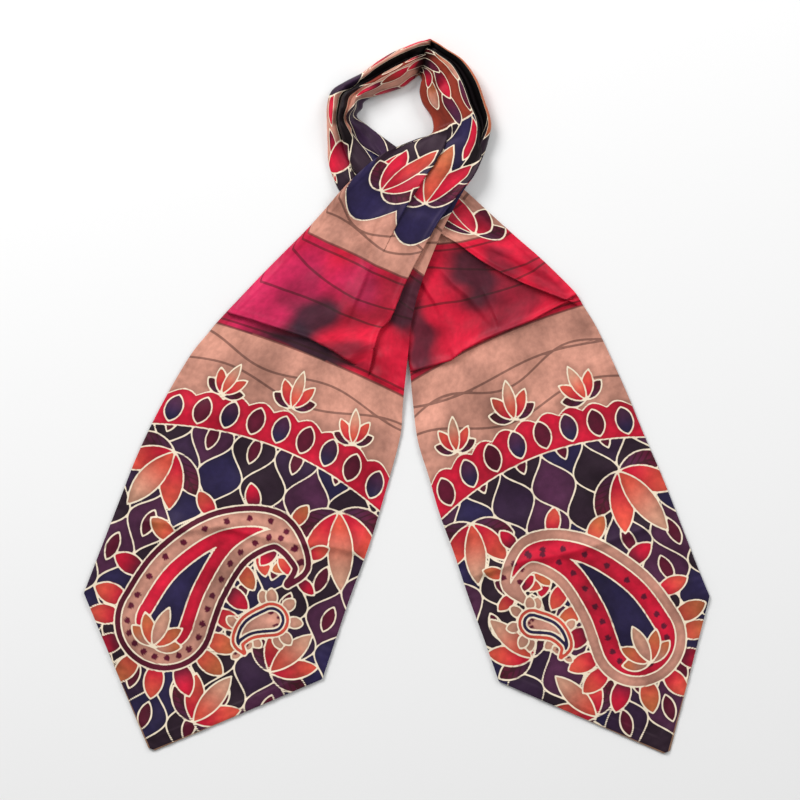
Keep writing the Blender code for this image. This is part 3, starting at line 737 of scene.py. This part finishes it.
underPrint = [
    ("lattice", pointEdge, endEdge, 15.0, 47.0, 2.9, "black navy ground plum black", smallBuds),
    ("spray", 18, 190, -168, 38), ("spray", 124, 186, 160, 42), ("spray", 52, 40, -24, 34),
    ("spray", 26, 92, -30, 32),
    ("paisley", [(96, 78, 32), (92, 108, 28), (76, 140, 20), (50, 156, 13), (30, 142, 7), (34, 128, 3)],
     [(0, "tan"), (7, "crimson"), (19, "navy")], largeFringe, (12, 7, 13.0, 2.0)),
    ("spray", 98, 60, -6, 24, heartDyes),
    ("paisley", [(34, 112, 10), (46, 104, 8), (50, 92, 5), (44, 86, 2)], smallRings,
     (3, 4, 8, 7, ["tan sand"]), smallBeads),
    ("zone", endEdge, tanEdge, "crimson", True),
    ("frieze", endEdge, 2.5, 19, 12, 10, 8, ["wine wine", "navy plum"]),
    ("zone", tanEdge, {"s": 330}, "tan", True),
    ("threads", 228, 284, [(251, -0.05, 6, 19, 1.3), (267, 0.04, 6, 16, 0.2), (276, -0.03, 4, 25, 3.6)]),
    ("spray", 24, 237, 10, 20), ("spray", 70, 243, 4, 23), ("spray", 122, 238, -8, 22),
    ("zone", underRedEdge, clothEnd, "crimson", False),
    ("wash", underRedEdge, underTopEdge, "black", 6.0, [(57, 0.9, 1.3), (35, 2.6, 0.2), (21, 1.6, 3.4)],
     [(12, 318, 12, 22, 0.85), (62, 350, 19, 24, 0.9), (86, 322, 20, 22, 0.55), (122, 356, 11, 14, 0.6),
      (140, 330, 9, 22, 0.4)]),
    ("zone", underTopEdge, clothEnd, "tan", False),
    ("stripes", underRedEdge, [0.0, 4.0]), ("stripes", underTopEdge, [-5.0, 0.0]),
    ("spray", 122, 381, 26, 34, {0: "red crimson", 36: "crimson wine", -36: "crimson red"}),
    ("threads", 312, 410, [(334, 0.06, 3, 29, 1.9), (360, -0.08, 3, 22, 0.4), (398, 0.05, 4, 14, 3.0)]),
    ("zone", {"s": 414, "arch": 6, "scallop": 8, "count": 4}, clothEnd, "navy", True),
    ("lattice", {"s": 426, "arch": 6}, clothEnd, 24.0, 62.0, 1.0, largeCells, (3, 22.0, 9.0, "crimson")),
    # the first: black print in the band's valley, dyed darker than black as painted shade for its shadow
    ("strip", 38, 80, 452, 0.5, 1.0, "ink"), ("strip", 76, 88, 472, 0.5, 1.0, "tan"),
    ("strip", 67, 86, 512, 0.5, 1.0, "rust", 580, 17, (0.5,), 4, 15, 9, ["tan sand", "crimson wine"]),
    ("strip", 0, 39, 446, 0.5, 2.0, "tan", 580, 20, (0.72,), 20, 20, 11,
     ["crimson wine", "red crimson", "wine crimson"]),
    ("leaf", -14, 505, 86, 62, 21, "black ground"),
    ("leaf", 10, 459, 80, 54, 17, "crimson wine"),
    ("strip", 86, 152, 488, 0.5, 1.5, "tan", 580, 21, (0.22, 0.62), 16, 25, 18,
     ["crimson wine", "rust crimson", "red wine"]),
    # painted shade along the sharp kink at the top of the band, over print that is dark there
    ("wash", {"s": 500}, clothEnd, "ink", 1.5, [(29, 0.3, 1.5)], [(100, 559, 62, 6, 0.9)]),
]


def splitAlongLines(mesh, near):  # each quad splits along the drawn line that crosses it
    alternate = near[:, 0] + near[:, 2] > near[:, 1] + near[:, 3]
    grid = bmesh.new()
    grid.from_mesh(mesh)
    faces = list(grid.faces)
    for method, chosen in (("FIXED", ~alternate), ("ALTERNATE", alternate)):
        bmesh.ops.triangulate(grid, faces=[faces[index] for index in np.nonzero(chosen)[0]],
                              quad_method=method)
    grid.to_mesh(mesh)
    grid.free()


def paintPrint(mesh, u, s, fromEdge, cut, layers):  # the print's fields as attributes of the mesh
    # line: distance to the nearest cream outline, fine: to the nearest dark drawn line or vein
    paint = {"u": u, "s": s, "cut": cut, "tint": np.tile(dyes["ground"], (len(u), 1)),
             "line": np.full(len(u), farLine), "fine": np.full(len(u), farLine)}
    for kind, *values in layers:
        painters[kind](paint, *values)
    color = mesh.attributes.new("tint", "FLOAT_COLOR", "POINT")
    color.data.foreach_set("color", np.hstack([paint["tint"], np.ones((len(u), 1))]).ravel())
    for name, values in (("line", paint["line"]), ("fine", paint["fine"]), ("rim", fromEdge)):
        field = mesh.attributes.new(name, "FLOAT", "POINT")
        field.data.foreach_set("value", values)
    corner = np.empty(len(mesh.loops), dtype=np.int32)
    mesh.loops.foreach_get("vertex_index", corner)
    flat = mesh.uv_layers.new(name="cut")
    flat.data.foreach_set("uv", (np.stack([u[corner], s[corner]], axis=1) * mm).ravel())
    splitAlongLines(mesh, np.minimum(paint["line"], paint["fine"])[corner.reshape(-1, 4)])


def addNode(tree, kind, settings=None, links=None):
    node = tree.nodes.new(kind)
    for key, value in (settings or {}).items():
        if isinstance(key, int) or key in node.inputs:
            node.inputs[key].default_value = value
        else:
            setattr(node, key, value)
    for key, socket in (links or {}).items():
        tree.links.new(socket, node.inputs[key])
    return node


# Silk satin: long floats give a soft broad gloss, the dye is cloudy and bleeds a little. Sizes in mm.
satin = {
    "noises": [("cloud", 34.0, 3.0), ("grain", 3.5, 2.0)],  # size and detail
    # from one field to another: its range, and what comes out at both ends. The dye is deeper where it
    # stopped against an outline.
    "ranges": [("shade", "cloud", 0.3, 0.7, 0.6, 1.38), ("speckle", "grain", 0.3, 0.7, 0.88, 1.1),
               ("shore", "line", 0.5, 5.0, 0.72, 1.0), ("wobble", "grain", 0.3, 0.7, -0.08, 0.1),
               ("gloss", "cloud", 0.3, 0.7, 0.46, 0.58)],
    # drawn over the dye in this order: color, width and strength
    "lines": [("fine", "#2B1512", 1.3, 0.6), ("outline", "#EFE0C6", 0.8, 1.0),
              ("rim", "#B98F6F", 1.8, 0.6)],
    "lineEdge": (-0.05, 0.3),  # where a line begins and ends to fade, from half its width
    "slub": {"wide": 0.9, "long": 14.0, "bump": 0.05, "deep": 0.4},
    "finish": {"Specular IOR Level": 0.24, "Specular Tint": (1.0, 0.76, 0.86, 1), "Sheen Weight": 0.05,
               "Sheen Roughness": 0.35},
}


def satinMaterial():
    material = bpy.data.materials.new("printed silk satin")
    material.use_nodes = True
    tree = material.node_tree
    shader = tree.nodes["Principled BSDF"]
    flat = addNode(tree, "ShaderNodeUVMap", {"uv_map": "cut"}).outputs["UV"]
    fields = {name: addNode(tree, "ShaderNodeAttribute", {"attribute_name": name}).outputs[socket]
              for name, socket in (("tint", "Color"), ("line", "Fac"), ("fine", "Fac"), ("rim", "Fac"))}
    for name, size, detail in satin["noises"]:
        fields[name] = addNode(tree, "ShaderNodeTexNoise", {"Scale": 1 / (size * mm), "Detail": detail},
                               {"Vector": flat}).outputs["Fac"]
    for name, source, low, high, least, most in satin["ranges"]:
        fields[name] = addNode(tree, "ShaderNodeMapRange",
                               {"From Min": low, "From Max": high, "To Min": least, "To Max": most},
                               {"Value": fields[source]}).outputs["Result"]
    shade = fields["shade"]
    for name in ("speckle", "shore"):
        shade = addNode(tree, "ShaderNodeMath", {"operation": "MULTIPLY"},
                        {0: shade, 1: fields[name]}).outputs[0]
    color = addNode(tree, "ShaderNodeVectorMath", {"operation": "SCALE"},
                    {0: fields["tint"], "Scale": shade}).outputs["Vector"]
    fields["outline"] = addNode(tree, "ShaderNodeMath", {"operation": "ADD"},
                                {0: fields["line"], 1: fields["wobble"]}).outputs[0]
    full, gone = satin["lineEdge"]
    for name, lineColor, wide, strength in satin["lines"]:
        mask = addNode(tree, "ShaderNodeMapRange",
                       {"interpolation_type": "SMOOTHSTEP", "From Min": wide / 2 + full,
                        "From Max": wide / 2 + gone, "To Min": strength, "To Max": 0.0},
                       {"Value": fields[name]}).outputs["Result"]
        color = addNode(tree, "ShaderNodeMix", {"data_type": "RGBA", 7: (*hexColor(lineColor), 1)},
                        {0: mask, 6: color}).outputs[2]
    # slubs, drawn coarser than real threads so that they show
    slub = satin["slub"]
    along = addNode(tree, "ShaderNodeMapping",
                    {"Scale": (1 / (slub["long"] * mm), 1 / (slub["wide"] * mm), 1.0)}, {"Vector": flat})
    thread = addNode(tree, "ShaderNodeTexNoise", {"Scale": 1.0, "Detail": 1.0},
                     {"Vector": along.outputs["Vector"]})
    bump = addNode(tree, "ShaderNodeBump", {"Strength": slub["bump"], "Distance": slub["deep"] * mm},
                   {"Height": thread.outputs["Fac"]})
    tree.links.new(color, shader.inputs["Base Color"])
    tree.links.new(fields["gloss"], shader.inputs["Roughness"])
    tree.links.new(bump.outputs["Normal"], shader.inputs["Normal"])
    for name, value in satin["finish"].items():
        shader.inputs[name].default_value = value
    return material


satinCloth = satinMaterial()
panels = tableRows("name strip print spacing isFace nodes", [
    ("front_end_face", frontStrip, frontPrint, 0.95, True, ["front_tail_face", "loop_right"]),
    ("front_end_back", frontStrip, frontPrint, 1.7, False, ["front_tail_back"]),
    ("under_end_face", underStrip, underPrint, 0.95, True, ["under_tail_face", "loop_left", "loop_top"]),
    ("under_end_back", underStrip, underPrint, 1.7, False, ["under_tail_back"]),
])
for panel in panels:
    strip = panel["strip"]
    piece, u, s, fromEdge, length = layPanel(panel["name"], strip, panel["spacing"], panel["isFace"])
    paintPrint(piece.data, u, s, fromEdge, strip["cut"], panel["print"])
    piece.data.materials.append(satinCloth)
    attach(piece, "root")
    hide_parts(*panel["nodes"])
    print("scene: laid", panel["name"], len(piece.data.polygons), "faces, length", round(length))

# Floor, light and camera
stage = {"floor": "#EEEEEE", "sky": 0.42,  # lamps: name, place, size, power
         "lamps": [("window light", (-0.9, 1.3, 1.4), 0.9, 33), ("fill light", (1.3, 1.1, 1.3), 1.0, 15)]}
bpy.ops.mesh.primitive_plane_add(size=6, location=(0, 0, -0.0004))
floor = bpy.context.object
floor.name = "floor"
board = bpy.data.materials.new("matt white board")
board.use_nodes = True
surface = board.node_tree.nodes["Principled BSDF"]
surface.inputs["Base Color"].default_value = (*hexColor(stage["floor"]), 1)
surface.inputs["Roughness"].default_value = 0.9
floor.data.materials.append(board)
for name, (x, y, z), size, power in stage["lamps"]:  # soft and square, aimed at the middle of the floor
    light = bpy.data.lights.new(name, "AREA")
    light.size = size
    light.energy = power
    lamp = bpy.data.objects.new(name, light)
    lamp.location = (x, y, z)
    lamp.rotation_euler = (math.atan2(math.hypot(x, y), z), 0, math.atan2(-y, -x) - math.pi / 2)
    bpy.context.scene.collection.objects.link(lamp)
world = bpy.data.worlds.new("studio")
bpy.context.scene.world = world
world.use_nodes = True
sky = world.node_tree.nodes["Background"]
sky.inputs["Color"].default_value = (1, 1, 1, 1)
sky.inputs["Strength"].default_value = stage["sky"]

lens = bpy.data.cameras.new("camera")
lens.lens = camera["lens"]
lens.sensor_width = camera["sensor"]
eye = bpy.data.objects.new("camera", lens)
eye.location = (camera["lookX"], camera["lookY"], camera["frameWidth"] * camera["lens"] / camera["sensor"])
bpy.context.scene.collection.objects.link(eye)
bpy.context.scene.camera = eye
bpy.context.scene.view_settings.view_transform = "Standard"
print("scene: stage set")
